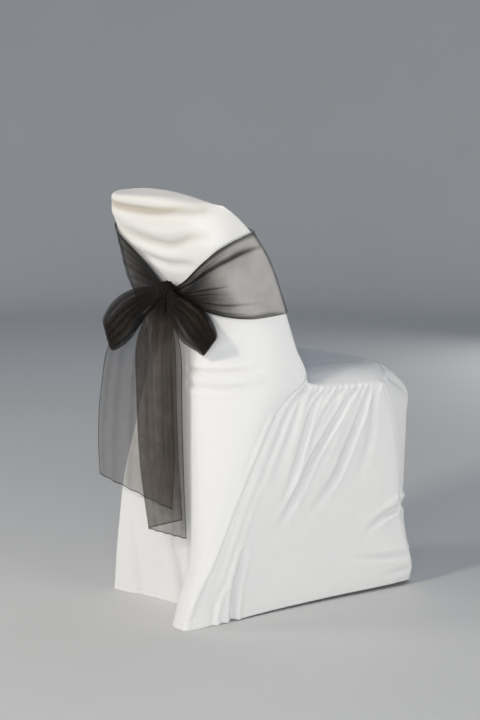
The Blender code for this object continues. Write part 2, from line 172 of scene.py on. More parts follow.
def uneven(run, period, seed):
    """A wandering value from -1 to 1: four sines of about that period, with their own shifts."""
    chance = np.random.default_rng(seed)
    periods = period * chance.uniform(0.6, 1.7, 4)
    shifts = chance.uniform(0, 2 * np.pi, 4)
    return sum(np.sin(2 * np.pi * run / p + s) for p, s in zip(periods, shifts)) / 4


def crumple(across, up, period, seed):
    """Slow dents over a panel: eight sines that run in their own directions."""
    chance = np.random.default_rng(seed)
    total = 0
    for turn, stretch, shift in chance.uniform(0, 1, (8, 3)):
        way = across * np.cos(np.pi * turn) + up * np.sin(np.pi * turn)
        total = total + np.sin(2 * np.pi * (way / (period * (0.6 + stretch)) + shift))
    return total / 8


def rising(distance, reach):
    """0 at the border and 1 past the reach, with a soft start and end."""
    share = np.clip(distance / reach, 0, 1)
    return share ** 2 * (3 - 2 * share)


FOLD_STEPS = 7            # straight steps from one point of a fold to the next
FOLD_SIDES = 1.7          # widths from a fold's middle to the bell on each side


def fold_heights(points, cloth, folds):
    """Height of the listed folds over a panel. A fold follows a curve through its (u, v)
    points: its height times a bell of its width, less the given share of the same bell to each
    side, times a strength that runs between its values from the start to the end.
    be a pair, for a fold that widens from its start to its end."""
    total = np.zeros(points.shape[:2])
    for widths, height, side_share, strengths, places in folds:
        path = cloth(*curve(places, FOLD_STEPS * len(places)).T)
        nearest = np.full(points.shape[:2], np.inf)
        along = np.zeros_like(nearest)
        for number, (a, b) in enumerate(zip(path[:-1], path[1:])):
            way = b - a
            share = np.clip((points - a) @ way / (way @ way), 0, 1)
            distance = np.linalg.norm(points - a - share[..., None] * way, axis=2)
            along = np.where(distance < nearest, (number + share) / (len(path) - 1), along)
            nearest = np.minimum(distance, nearest)
        strength = np.interp(along, np.linspace(0, 1, len(strengths)), strengths)
        width = np.interp(along, (0, 1), np.broadcast_to(widths, 2))
        beside = np.exp(-((nearest - FOLD_SIDES * width) / width) ** 2)
        total += height * strength * (np.exp(-(nearest / width) ** 2) - side_share * beside)
    return total


def linked(name, mesh, material):
    """Put a mesh in the scene, smooth and with its material."""
    mesh.shade_smooth()
    mesh.materials.append(material)
    piece = bpy.data.objects.new(name, mesh)
    bpy.context.collection.objects.link(piece)
    return piece


def cloth_object(name, points, maps, marks, material, thickness=0.0, side=1):
    """Make a grid of points one cloth: faces between neighbours, wound so that they face out,
    with UV maps and marks given point by point, and a thickness laid on inside."""
    rows, columns = points.shape[:2]
    number = np.arange(rows * columns).reshape(rows, columns)
    quads = np.stack([number[:-1, :-1], number[:-1, 1:], number[1:, 1:], number[1:, :-1]], -1)
    quads = quads.reshape(-1, 4)[:, ::side]
    mesh = bpy.data.meshes.new(name)
    mesh.from_pydata((points.reshape(-1, 3) - REST_POINT).tolist(), [], quads.tolist())
    corners = quads.ravel()
    for map_name, values in maps.items():
        layer = mesh.uv_layers.new(name=map_name)
        layer.uv.foreach_set("vector", np.stack(values, -1).reshape(-1, 2)[corners].ravel())
    for mark_name, values in marks.items():
        mark = mesh.attributes.new(mark_name, "FLOAT", "POINT")
        mark.data.foreach_set("value", np.ascontiguousarray(values, float).ravel())
    piece = linked(name, mesh, material)
    if thickness:
        wall = piece.modifiers.new("thickness", "SOLIDIFY")
        wall.thickness = thickness
        wall.offset = -1
    return piece


class Value:
    """One value in a material. Arithmetic on it, from either side, adds Math nodes."""

    def __init__(self, dye, socket):
        self.dye, self.socket = dye, socket

    def maths(self, operation, *values):
        return self.dye.node("ShaderNodeMath", {"operation": operation}, enumerate(values))

    def __add__(self, other):
        return self.maths("ADD", self, other)

    def __sub__(self, other):
        return self.maths("SUBTRACT", self, other)

    def __rsub__(self, other):
        return self.maths("SUBTRACT", other, self)

    def __mul__(self, other):
        return self.maths("MULTIPLY", self, other)

    def __truediv__(self, other):
        return self.maths("DIVIDE", self, other)

    def __lt__(self, other):
        return self.maths("LESS_THAN", self, other)

    __radd__, __rmul__ = __add__, __mul__

    def part(self):
        """What is left of the value over its whole number."""
        return self.maths("FRACT", self)

    def size(self):
        return self.maths("ABSOLUTE", self)

    def power_of_e(self):
        return self.maths("EXPONENT", self)

    def between(self, low, high):
        """0 at low and 1 at high, clamped, with soft ends."""
        return self.dye.node("ShaderNodeMapRange", {"interpolation_type": "SMOOTHSTEP"},
                             {"Value": self, "From Min": low, "From Max": high})


class Dye:
    """A material in the making. node() adds any node: its type, its settings, then the values
    or links of its sockets."""

    def __init__(self, name):
        self.material = bpy.data.materials.new(name)
        self.material.use_nodes = True
        self.shader = self.material.node_tree.nodes["Principled BSDF"]

    def node(self, kind, settings=(), inputs=(), output=0):
        node = self.material.node_tree.nodes.new(kind)
        for name, value in dict(settings).items():
            setattr(node, name, value)
        self.feed(node, inputs)
        return Value(self, node.outputs[output])

    def feed(self, node, inputs):
        for name, value in dict(inputs).items():
            if isinstance(value, Value):
                self.material.node_tree.links.new(value.socket, node.inputs[name])
            else:
                node.inputs[name].default_value = value

    def surface(self, **inputs):
        self.feed(self.shader, {name.replace("_", " "): value for name, value in inputs.items()})
        return self.material

    def mark(self, name):
        return self.node("ShaderNodeAttribute", {"attribute_name": name}, output="Fac")

    def map_parts(self, name):
        """The two values of a UV map."""
        uv = self.node("ShaderNodeUVMap", {"uv_map": name})
        return [self.node("ShaderNodeSeparateXYZ", (), {"Vector": uv}, output=i) for i in (0, 1)]

    def place(self):
        """Where a point lies in the object's own axes."""
        return self.node("ShaderNodeTexCoord", output="Object")

    def height(self):
        return self.node("ShaderNodeSeparateXYZ", (), {"Vector": self.place()}, output="Z")

    def cloud(self, scale, detail=2.0):
        """Soft random value from 0 to 1, with about that many clouds to a metre."""
        return self.node("ShaderNodeTexNoise", (), {"Vector": self.place(), "Scale": scale,
                                                    "Detail": detail})

    def relief(self, height, strength):
        """Bumps from a height in metres."""
        return self.node("ShaderNodeBump", (), {"Strength": strength, "Distance": 1.0,
                                                "Height": height})

    def mixed(self, share, first, second):
        """Two colours mixed by a share."""
        colours = [(*colour, 1.0) if isinstance(colour, tuple) else colour
                   for colour in (first, second)]
        return self.node("ShaderNodeMix", {"data_type": "RGBA"},
                         {"Factor": share, 6: colours[0], 7: colours[1]}, output=2)


STITCH_LINE = 0.0055      # topstitching, from the seam
STITCH_LENGTH = 0.0034    # from one stitch to the next
STITCH_SHARE = 0.72       # how much of that its thread takes up
THREAD_EDGES = (0.0004, 0.0009)   # from its middle to where it starts to thin and to its edge
HEM_DEPTH = 0.013         # turned-up hem, from the cloth's lower edge


def white_polyester():
    """Knitted white cloth. The knit is a fine noise in the relief; the topstitching is a
    dashed line beside each seam and above the hem. Warm light is painted in as a cream tint towards
    the crown, and shade is painted into the folds, grey on the sides and warm tan near the crown."""
    dye = Dye("white polyester")
    across, up = dye.map_parts("cloth")
    from_seam, seam_run = dye.map_parts("seam")

    def stitches(from_line, run):
        on_line = 1 - from_line.size().between(*THREAD_EDGES)
        return on_line * ((run / STITCH_LENGTH).part() < STITCH_SHARE)

    sewn = stitches(from_seam - STITCH_LINE, seam_run) + stitches(up - HEM_DEPTH, across)
    white = dye.mixed(dye.cloud(5), (0.80, 0.80, 0.80), (0.845, 0.84, 0.83))
    height = dye.height()
    crown_warm_light = height.between(-0.20, -0.02)
    # Painted warm light: the white turns cream towards the crown.
    white = dye.mixed(crown_warm_light, white, (0.835, 0.82, 0.79))
    # Painted shade in the folds: grey on the sides, warm tan towards the crown, and laid on more
    # strongly near the crown.
    deep = dye.mixed(crown_warm_light, (0.56, 0.56, 0.57), (0.44, 0.38, 0.29))
    fold_shade_share = dye.mark("trough") * (0.45 + height.between(-0.16, -0.04) * 0.30)
    colour = dye.mixed(sewn * 0.5, dye.mixed(fold_shade_share, white, deep), (0.62, 0.61, 0.60))
    knit = dye.relief(dye.cloud(420, 3.0) * 0.00022 - sewn * 0.0002, 0.5)
    return dye.surface(Base_Color=colour, Roughness=0.60 + dye.cloud(14) * 0.14, Normal=knit,
                       Sheen_Weight=0.18, Sheen_Roughness=0.5)


polyester = white_polyester()
POLYESTER_THICKNESS = 0.0011
COVER_PUFF = 0.0004       # how far the cloth stands off its seams, as it isn't drawn tight
SKIRT_SWELL = 0.0042      # how far the skirt swells out past its side seams
SWELL_REACH = 0.030       # and how soon
DENTS = ((0.0010, 0.16), (0.0003, 0.04))    # depth and length of the slow dents and small ones
WELTS = ((0.010, 1.0), (0.019, 0.7))        # distance of a seam's welts, and their strength
WELT_HALF_WIDTH = 0.0032
HEM_LIFT = 0.0006         # how far the turned-up hem stands out
HEM_FRILL = 0.0007        # how far its edge waves
DEEP_FOLD = 0.0052        # depth of a fold that gets the full painted shade


def tailored(points, cloth, side, folds, gathers, seed, top_gathered=0, swell=0):
    """Finish a panel from its plain surface. Heights are added along its normals: a puff, a
    swell that rises as 1 - e^-distance from the side seams, the listed folds, dents,
    gathers and soft welts beside the sewn edges, the hem's lift and its frill. All but the hem's
    start from nothing at the seams. Returns points, maps and marks."""
    pitch, depth, reach, welt_height = gathers
    normals = outward(points, side)
    across, up = lengths(points, 1), lengths(points, 0)
    from_left, from_right, from_top = across, across[:, -1:] - across, up[-1:] - up
    border = np.minimum(from_left, from_right)
    sewn_edge = np.minimum(border, from_top)
    folded = rising(sewn_edge, 0.009) * fold_heights(points, cloth, folds)
    height = COVER_PUFF * rising(sewn_edge, 0.010) + swell * (1 - np.exp(-border / SWELL_REACH))
    height = height + folded
    height += rising(sewn_edge, 0.02) * sum(
        dent * crumple(across, up, size, seed + number)
        for number, (dent, size) in enumerate(DENTS))
    for share, distance, run in ((1, from_left, up), (1, from_right, up),
                                 (top_gathered, from_top, across)):
        ripple = np.sin(2 * np.pi * run / pitch + 3 * uneven(run, 0.09, seed + 2))
        fade = rising(distance, 0.005) * np.exp(-distance / reach)
        height += (ripple + 0.4) * (fade * share * depth
                                    * (0.6 + 0.4 * uneven(run, 0.13, seed + 3)))
        for place, strength in WELTS:
            wander = place + 0.002 * uneven(run, 0.11, seed + 5)
            welt = np.exp(-((distance - wander) / WELT_HALF_WIDTH) ** 2)
            height += (strength * share * welt_height * welt
                       * (0.7 + 0.6 * uneven(run, 0.08, seed + 6)))
    height += HEM_LIFT * (1 - rising(up - HEM_DEPTH, 0.0015))
    frill = HEM_FRILL * uneven(across, 0.03, seed + 4) * np.exp(-up / 0.018)
    height += frill * rising(border, 0.01)
    seam_run = np.where(from_left < from_right, up, up + 0.5 * STITCH_LENGTH)
    maps = {"cloth": (across, up), "seam": (border, seam_run)}
    # The mark is painted shade for the folds, darker the deeper a fold is.
    return (points + normals * height[..., None], maps,
            {"trough": np.clip(-folded / DEEP_FOLD, 0, 1) ** 1.4})


# Folds of the rear panel: width, height, share of it to each side, strengths, (u, v) points.
# The crown's three creases come first, each with its sharp bottom and the roll of cloth above or
# below it; then the level folds behind the seat, those down to the hem, and two by the side seam.
REAR_FOLDS = (
    (.0125, -.0068, .25, (1, 1, .75, .3), ((.76, .905), (.692, .883), (.629, .867), (.575, .861),
     (.517, .864), (.458, .875), (.383, .9), (.304, .922), (.242, .944))),
    (.0038, -.0026, 0, (1, 1, .8, .1), ((.77, .908), (.692, .885), (.629, .868), (.575, .861),
     (.517, .863), (.458, .874), (.4, .893))),
    (.011, .0044, 0, (1, 1, .8, .2), ((.76, .945), (.683, .93), (.6, .925), (.52, .935),
     (.44, .955))),
    (.012, -.005, .3, (.3, .9, 1, .8, .3), ((.7, .79), (.667, .775), (.625, .764), (.579, .756),
     (.521, .753), (.458, .753), (.396, .764), (.338, .781), (.283, .794), (.221, .806))),
    (.004, -.0016, 0, (.2, 1, 1, .8, .1), ((.667, .783), (.62, .772), (.579, .764), (.521, .757),
     (.458, .757), (.396, .768), (.338, .783))),
    (.0095, .0028, 0, (.3, 1, 1, .2), ((.66, .808), (.613, .796), (.562, .788), (.487, .785),
     (.408, .796), (.325, .819))),
    (.009, -.0032, .35, (.4, 1, .9, .4), ((.63, .723), (.588, .711), (.537, .703), (.479, .697),
     (.408, .703), (.35, .711))),
    (.0036, -.0013, 0, (.2, 1, 1, .1), ((.621, .72), (.571, .71), (.5, .703), (.417, .707),
     (.354, .717))),
    (.0085, .0022, 0, (.3, 1, 1, .2), ((.596, .736), (.562, .731), (.517, .725), (.442, .725),
     (.362, .731), (.312, .739))),
    (.0068, -.0042, .5, (.5, 1, 1, .8, .2), ((.42, .49), (.34, .49), (.27, .49), (.2, .492),
     (.155, .496))),
    (.0068, -.004, .4, (.5, 1, .4), ((.42, .446), (.29, .448), (.225, .446), (.165, .458),
     (.13, .47))),
    (.012, -.0018, .3, (.8, .8, .3), ((.3, .515), (.24, .53), (.19, .545))),
    ((.012, .024), -.0052, .2, (.1, .8, 1, 1), ((.6, .2), (.56, .15), (.52, .09), (.49, 0))),
    ((.01, .017), -.0044, .2, (.1, .8, 1, 1), ((.46, .22), (.445, .15), (.43, .08), (.42, 0))),
    ((.01, .016), -.0026, .3, (.2, 1, .8), ((.68, .17), (.66, .1), (.64, 0))),
    (.006, .0016, .5, (.5, 1, .8), ((.03, .33), (.036, .25), (.038, .18), (.045, .12))),
    (.007, .0016, .5, (.4, 1, 1), ((.075, .25), (.07, .18), (.075, .11), (.08, .04))),
)

# Gathers along the seams: from one to the next, their depth and reach, and the welts' height.
REAR_SEAM_GATHERS = (0.013, 0.0004, 0.013, 0.0001)
REAR_ROWS, REAR_COLUMNS = 251, 181
u, v = even_grid(rear_cloth, REAR_ROWS, REAR_COLUMNS, level=0.55)
rear_sewn = tailored(relaxed(rear_cloth(u, v), times=30), rear_cloth, -1, REAR_FOLDS,
                     REAR_SEAM_GATHERS, seed=11, swell=SKIRT_SWELL * (1 - rising(v - 0.40, 0.13)))
rear_panel = cloth_object("cover_rear_panel", *rear_sewn, polyester, POLYESTER_THICKNESS,
                          side=-1)
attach(rear_panel, "root")
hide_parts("rear_panel")

# --------------------------------------------------
# Front panel: the same polyester in one strip, up the front skirt, back over the seat pad and up
# the inside of the back to the crown seam. The seat pad rounds its edges.

# Each row is one level: y and z in the middle, y and z at the side seams, half the width there
# and the power with which the cloth turns from its middle to its seams.
FRONT_LEVELS = (
    (-.368, .000, -.343, .010, .162, 8),
    (-.353, .050, -.343, .053, .175, 8),
    (-.339, .160, -.307, .160, .181, 8),
    (-.335, .280, -.288, .280, .193, 8),
    (-.346, .385, -.265, .385, .202, 8),
    (-.347, .438, -.246, .436, .205, 8),
    (-.327, .480, -.236, .464, .206, 5),
    (-.290, .506, -.226, .480, .207, 4),
    (-.232, .518, -.196, .483, .207, 7),
    (-.150, .521, -.140, .486, .207, 8),
    (-.070, .516, -.080, .488, .207, 7),
    (-.018, .512, -.034, .497, .207, 4),
)
FRONT_SKIRT_LEVELS = 8    # rows of FRONT_LEVELS up to the seat's front edge
BACK_BULGE = 0.012        # how far the inner back swells forward in the middle


def front_lines(across):
    """Points of the front panel's levels at places across it, -1 near to 1 far. The skirt and
    seat turn towards their seams with a power of the place; the inner back runs straight between
    the rear panel's seams, swollen forward by a parabola, and ends along the crown."""
    middle_y, middle_z, seam_y, seam_z, half, power = np.array(FRONT_LEVELS).T[..., None]
    turn = np.abs(across) ** power
    lower = np.stack([half * across, middle_y + (seam_y - middle_y) * turn,
                      middle_z + (seam_z - middle_z) * turn], -1)
    points = rear_points()
    seams = points[SEAT_LEVEL:, [0, -1]]
    share = (across + 1)[:, None] / 2
    upper = seams[:, :1] * (1 - share) + seams[:, 1:] * share
    level, drop = np.array([row[:2] for row in REAR_LEVELS[SEAT_LEVEL:]]).T[..., None]
    upper[..., 2] = level - crown_drop(upper[..., 0], drop)
    upper[..., 1] -= BACK_BULGE * (1 - across ** 2) * np.linspace(1, 0, len(upper))[:, None] ** 0.5
    crown = curve(points[-1], 71)
    upper[-1, :, 1] = np.interp(upper[-1, :, 0], crown[:, 0], crown[:, 1])
    return np.concatenate([lower, upper])


FRONT_COUNT = len(FRONT_LEVELS) + len(REAR_LEVELS) - SEAT_LEVEL


def front_cloth(u, v):
    """Points of the front panel at pairs of shares: u across from the near seam and v from the
    hem to the crown."""
    lines = front_lines(2 * np.ravel(u) - 1)
    up = spline_weights(np.ravel(v) * (FRONT_COUNT - 1), FRONT_COUNT)
    return np.einsum("pi,ipk->pk", up, lines).reshape(np.shape(u) + (3,))


SEAT_EDGE_V = (FRONT_SKIRT_LEVELS - 1) / (FRONT_COUNT - 1)
SEAT_BACK_V = (len(FRONT_LEVELS) - 1) / (FRONT_COUNT - 1)
# Folds: the roll along the seat's edge, the crease behind the seat, those that run in from the
# front skirt's sides, its upright ones, and the slack of the seat and the inner back.
FRONT_FOLDS = (
    (.006, .0022, .3, (1, 1), ((.03, SEAT_EDGE_V), (.2, SEAT_EDGE_V - .004),
     (.5, SEAT_EDGE_V - .006), (.8, SEAT_EDGE_V - .004), (.97, SEAT_EDGE_V))),
    (.011, -.005, .1, (1, 1), ((.04, SEAT_BACK_V + .012), (.35, SEAT_BACK_V + .006),
     (.65, SEAT_BACK_V + .006), (.96, SEAT_BACK_V + .012))),
    (.0075, -.005, .3, (1, .8, .2), ((0, .1145), (.06, .112), (.14, .115), (.24, .124))),
    (.006, .005, .2, (1, .8, .2), ((0, .1235), (.08, .121), (.18, .128))),
    (.008, -.0036, .5, (1, .6, .2), ((0, .063), (.1, .06), (.2, .064))),
    (.009, -.005, .5, (1, .8, .3), ((1, .108), (.88, .102), (.78, .112))),
    ((.008, .013), -.0042, .4, (.5, 1, .8), ((.05, .33), (.08, .24), (.1, .12), (.12, .02))),
    (.008, -.004, .4, (.8, 1, .2), ((.13, .36), (.14, .28), (.17, .22))),
    (.014, .0046, .3, (.3, .8, 1), ((.1, .33), (.17, .22), (.21, .1), (.22, .01))),
    ((.01, .017), .004, .3, (.3, .8, 1), ((.9, .33), (.85, .22), (.83, .1), (.84, .01))),
    ((.013, .023), .0034, .3, (.1, .7, 1), ((.4, .31), (.43, .18), (.38, .01))),
    ((.012, .02), .0028, .3, (0, .7, 1), ((.62, .25), (.6, .15), (.65, .01))),
    ((.013, .01), -.0022, .3, (.1, 1, .8, .2), ((.12, SEAT_BACK_V + .095), (.34, SEAT_BACK_V + .08),
     (.6, SEAT_BACK_V + .086), (.84, SEAT_BACK_V + .105))),
    ((.009, .015), -.0022, .3, (0, .6, 1), ((.52, .2), (.51, .1), (.54, .01))),
    (.012, -.0014, .3, (.5, 1, .7), ((.16, SEAT_EDGE_V + .07), (.22, SEAT_EDGE_V + .12),
     (.24, SEAT_BACK_V - .04))),
)
FRONT_SEAM_GATHERS = (0.012, 0.0006, 0.010, 0.0004)
FRONT_ROWS, FRONT_COLUMNS = 321, 121
u, v = even_grid(front_cloth, FRONT_ROWS, FRONT_COLUMNS, level=0.2)
front_plain = front_cloth(u, v)
above = v[:, 0] * (FRONT_COUNT - 1) - len(FRONT_LEVELS)     # levels above the seat
seam_v = (above[above > 0] + SEAT_LEVEL) / (len(REAR_LEVELS) - 1)
for column, rear_u in ((0, 0.0), (-1, 1.0)):
    front_plain[above > 0, column] = rear_cloth(np.full_like(seam_v, rear_u), seam_v)
front_sewn = tailored(relaxed(front_plain, times=12), front_cloth, 1, FRONT_FOLDS,
                      FRONT_SEAM_GATHERS, seed=23)
front_panel = cloth_object("cover_front_panel", *front_sewn, polyester, POLYESTER_THICKNESS)
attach(front_panel, "root")
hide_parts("front_panel")

# --------------------------------------------------
# Side skirts: a polyester panel each side, gathered into the edge of the seat and sewn to the
# rear and front panels. Tension folds run from the gathers down towards the rear leg.

HEM_RISE = 0.0015         # how far the side hems rise in the middle
HEM_PULL = 0.010          # how far they are drawn in there


def skirt_cloth(side):
    """Points of a side skirt at pairs of shares: u from the rear seam to the front one and v
    from the hem to the seat's edge. It is a Coons patch: the surface ruled between the two seams
    plus the one ruled between hem and seat edge, less the one through the four corners."""
    rear_line = rear_points()[:, 0 if side < 0 else -1]
    edge_line = front_lines(np.array([float(side)]))[:, 0]
    last = len(FRONT_LEVELS)

    def along(line, positions):
        return spline_weights(positions, len(line)) @ line

    def cloth(u, v):
        shape = np.shape(u) + (3,)
        u, v = np.ravel(u), np.ravel(v)
        rear = along(rear_line, v * SEAT_LEVEL)
        front = along(edge_line, v * (FRONT_SKIRT_LEVELS - 1))
        top = along(edge_line, last - u * (last - FRONT_SKIRT_LEVELS + 1))
        share, level = u[:, None], v[:, None]
        low = rear_line[0] * (1 - share) + edge_line[0] * share
        high = edge_line[last] * (1 - share) + edge_line[FRONT_SKIRT_LEVELS - 1] * share
        hem = low + np.sin(np.pi * share) * (-side * HEM_PULL, 0, HEM_RISE)
        patch = (rear * (1 - share) + front * share + hem * (1 - level) + top * level
                 - (low * (1 - level) + high * level))
        return patch.reshape(shape)

    return cloth


# Gathers under the seat's edge: place along it, how far they lean back, their lower end, depth.
NEAR_GATHERS = ((.045, 0, .9, .0018), (.1, 0, .84, .0026), (.155, 0, .8, .0022),
                (.215, .01, .78, .003), (.27, .01, .82, .0022), (.325, .015, .74, .0032),
                (.39, .01, .8, .0024), (.445, .02, .76, .003), (.505, .02, .8, .0024),
                (.555, .03, .74, .0032), (.615, .03, .8, .0022), (.675, .03, .78, .003),
                (.735, .03, .74, .0024), (.79, .03, .8, .003), (.85, .03, .78, .0022),
                (.905, .02, .82, .0024), (.955, .01, .88, .0016))
FAR_GATHERS = ((.08, 0, .86, .0022), (.16, .01, .8, .0028), (.24, .01, .82, .0024),
               (.32, .02, .76, .003), (.39, .01, .8, .0024), (.47, .02, .76, .003),
               (.54, .02, .82, .0022), (.62, .03, .76, .003), (.7, .02, .8, .0024),
               (.77, .03, .78, .0028), (.85, .02, .82, .0024), (.92, .01, .86, .002))
# Long folds run from the gathers down towards the rear leg and widen on the way, with a few by
# the rear leg and the front hem. The far skirt has fewer.
NEAR_FOLDS = (
    ((.005, .0095), -.0052, .3, (.2, .8, 1, 1, .6, .05), ((.372, .93), (.364, .8), (.355, .69),
     (.345, .6), (.333, .52), (.318, .455), (.3, .4))),
    ((.005, .0105), -.0076, .3, (.2, .7, 1, 1, .8, .05), ((.67, .94), (.625, .84), (.575, .7),
     (.505, .6), (.435, .52), (.392, .455), (.345, .395), (.31, .35))),
    ((.0055, .0115), -.0064, .3, (.2, .9, 1, .9, .05), ((.8, .92), (.765, .8), (.73, .68),
     (.685, .59), (.648, .53), (.6, .465), (.54, .415), (.48, .37))),
    ((.007, .013), -.0032, .25, (.3, 1, .8, .05), ((.86, .9), (.83, .72), (.8, .58), (.765, .5),
     (.71, .42))),
    ((.0045, .008), -.0022, .3, (.3, 1, .5, 0), ((.52, .9), (.485, .78), (.44, .66), (.4, .57),
     (.365, .49))),
    ((.009, .014), .0022, 0, (.1, 1, .9, .1), ((.46, .88), (.44, .74), (.405, .62), (.37, .52),
     (.335, .44))),
    ((.012, .018), .0034, 0, (.1, 1, 1, .1), ((.7, .88), (.66, .74), (.6, .62), (.545, .52),
     (.47, .43))),
    ((.008, .012), .0018, 0, (.1, 1, .1), ((.81, .84), (.78, .7), (.74, .59), (.69, .5))),
    ((.0055, .011), -.0028, .3, (.2, 1, .9, .05), ((.22, .88), (.236, .755), (.236, .64),
     (.22, .56), (.2, .47))),
    ((.007, .012), .0018, 0, (.1, 1, .1), ((.29, .88), (.295, .75), (.29, .62), (.27, .5))),
    ((.005, .01), -.0026, .3, (.3, 1, .8, .1), ((.1, .94), (.14, .8), (.138, .68), (.115, .56),
     (.1, .46))),
    (.0075, .0015, .4, (.2, 1, .5), ((.06, .52), (.055, .4), (.06, .28), (.075, .15))),
    (.0085, .0015, .4, (.2, 1, .6), ((.12, .48), (.105, .36), (.105, .24), (.12, .12))),
    (.0085, -.008, .5, (.3, 1, 1), ((.14, .3), (.149, .209), (.165, .11), (.179, 0))),
    (.007, .0044, .3, (.3, 1, 1), ((.1, .18), (.1, .1), (.11, 0))),
    ((.006, .01), -.0078, .35, (.7, 1, .9, .5, .05), ((1, .325), (.976, .318), (.93, .313),
     (.884, .306), (.839, .292), (.79, .27))),
    ((.0055, .0075), .0034, 0, (1, .8, .1), ((1, .35), (.95, .342), (.9, .335))),
    (.008, -.004, .4, (.1, 1, .8), ((.7, .196), (.774, .194), (.863, .184), (.932, .182),
     (1, .178))),
    (.008, -.0034, .4, (.2, .9, 1), ((.86, .1), (.93, .11), (1, .12))),
)
FAR_FOLDS = (
    ((.0055, .011), -.0048, .3, (.2, 1, .9, .1), ((.37, .92), (.37, .78), (.355, .64), (.325, .52),
     (.28, .42))),
    ((.0055, .012), -.0062, .3, (.2, 1, 1, .1), ((.56, .92), (.54, .76), (.5, .63), (.44, .51),
     (.37, .4))),
    ((.006, .0125), -.0052, .3, (.2, 1, .9, .1), ((.76, .92), (.74, .77), (.7, .63), (.64, .51),
     (.57, .4))),
    ((.007, .012), -.003, .3, (.3, 1, .1), ((.87, .9), (.84, .7), (.79, .54))),
    ((.012, .018), .0034, 0, (.1, 1, .1), ((.65, .86), (.62, .7), (.56, .55), (.49, .44))),
    ((.006, .011), -.0028, .3, (.3, 1, .1), ((.2, .88), (.18, .7), (.15, .52))),
    (.009, -.0064, .5, (.3, 1, 1), ((.13, .28), (.145, .18), (.17, 0))),
    ((.0065, .01), -.006, .4, (1, .9, .1), ((1, .29), (.9, .274), (.8, .25))),
    (.008, -.0034, .4, (1, .8, .2), ((1, .13), (.93, .12), (.86, .11))),
)


def gathered(gathers):
    """The gathers as folds: each a short valley from the seam down, fading to its lower end."""
    return tuple(((.0040, .0065), -1.35 * depth, .3, (.35, 1, .8, .4, 0),
                  ((at, 1), (at - lean / 2, (3 + end) / 4), (at - lean, (1 + end) / 2),
                   (at - 1.5 * lean, end)))
                 for at, lean, end, depth in gathers)


SKIRT_SEAM_GATHERS = (0.011, 0.0004, 0.014, 0.0001)
SKIRT_ROWS, SKIRT_COLUMNS = 151, 171
for label, side, folds in (("near", -1, NEAR_FOLDS + gathered(NEAR_GATHERS)),
                           ("far", 1, FAR_FOLDS + gathered(FAR_GATHERS))):
    cloth = skirt_cloth(side)
    u, v = np.meshgrid(np.linspace(0, 1, SKIRT_COLUMNS),
                       evenly(lambda share: cloth(np.full_like(share, 0.4), share), SKIRT_ROWS))
    sewn = tailored(cloth(u, v), cloth, -side, folds, SKIRT_SEAM_GATHERS, seed=37 + side,
                    top_gathered=0.25, swell=SKIRT_SWELL * rising(1 - v, 0.20))
    skirt = cloth_object(f"cover_side_skirt_{label}", *sewn, polyester, POLYESTER_THICKNESS,
                         side=-side)
    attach(skirt, "root")
    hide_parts(f"side_skirt_{label}")

# --------------------------------------------------
# Sash: one strip of black organza, 0.20 m by 2.74 m with narrow rolled edges. It goes once round
# the back and is tied behind it. This piece is the part round the back: it is bunched where it
# leaves the knot, opens in pleats over the near side and lies flat across the front.

# Each row is one place round the back: its number, the height of the lower and upper edges, how
# far the cloth is pulled off the cover, and how many layers deep it is bunched. Places count the
# columns of REAR_LEVELS from the near end to the near seam, one more across the inner back, and
# the columns from the far seam to the far end.
BAND_PLACES = (
    (-0.12, .674, .698, .010, 1.2),
    (0.50, .664, .724, .007, 1.5),
    (1.10, .654, .760, .003, 1.5),
    (1.50, .647, .780, .001, 1.25),
    (1.80, .644, .794, .000, 1.1),
    (2.10, .643, .806, .000, 1.0),
    (2.50, .645, .822, .000, 1.0),
    (3.10, .649, .834, .000, 1.0),
    (3.60, .652, .832, .000, 1.0),
    (4.10, .651, .832, .000, 1.1),
    (4.60, .648, .832, .000, 1.2),
    (5.10, .647, .828, .000, 1.3),
    (5.60, .650, .821, .000, 1.8),
    (6.10, .656, .806, .000, 2.3),
    (6.60, .664, .776, .002, 2.7),
    (7.10, .670, .734, .006, 2.8),
    (7.56, .676, .699, .010, 2.0),
)
BAND_NEAR_SEAM = 3.10     # the place of the near seam
SASH_WIDTH = 0.20
SASH_STAND_OFF = 0.0062   # from the plain cover to the sash
ROLLED_EDGE = (0.0010, 0.0024)    # where a rolled edge ends, and where the open cloth starts
ROLLED_END = (0.0016, 0.0034)

# Folds that run out of the knot: share of the width from the lower edge at the knot and where it
# ends, half width as a share, height, added layers, and how many places on it has faded out.
BAND_NEAR_FOLDS = (
    (.02, .015, .028, .0012, 6.5, 3.4),
    (.09, .070, .018, .0020, 6.5, 2.2),
    (.155, .125, .014, .0018, 6.0, 1.7),
    (.225, .180, .018, .0024, 7.0, 2.5),
    (.33, .28, .060, .0010, 1.6, 1.9),
    (.42, .36, .015, .0018, 6.0, 1.8),
    (.52, .47, .019, .0030, 9.0, 2.0),
    (.60, .62, .050, .0014, 1.2, 1.6),
    (.68, .70, .016, .0016, 4.5, 1.5),
    (.79, .825, .034, .0036, 11.0, 3.3),
    (.885, .90, .018, .0014, 4.0, 2.4),
    (.975, .985, .040, .0016, 9.0, 3.6),
)
BAND_FAR_FOLDS = (
    (.04, .04, .030, .0008, 2.0, 3.2),
    (.16, .14, .035, .0012, 1.6, 3.2),
    (.32, .30, .040, .0012, 1.4, 2.6),
    (.48, .46, .040, .0014, 1.8, 3.2),
    (.62, .63, .040, .0012, 1.4, 2.6),
    (.77, .79, .035, .0014, 1.8, 3.2),
    (.96, .97, .035, .0012, 6.0, 3.4),
)


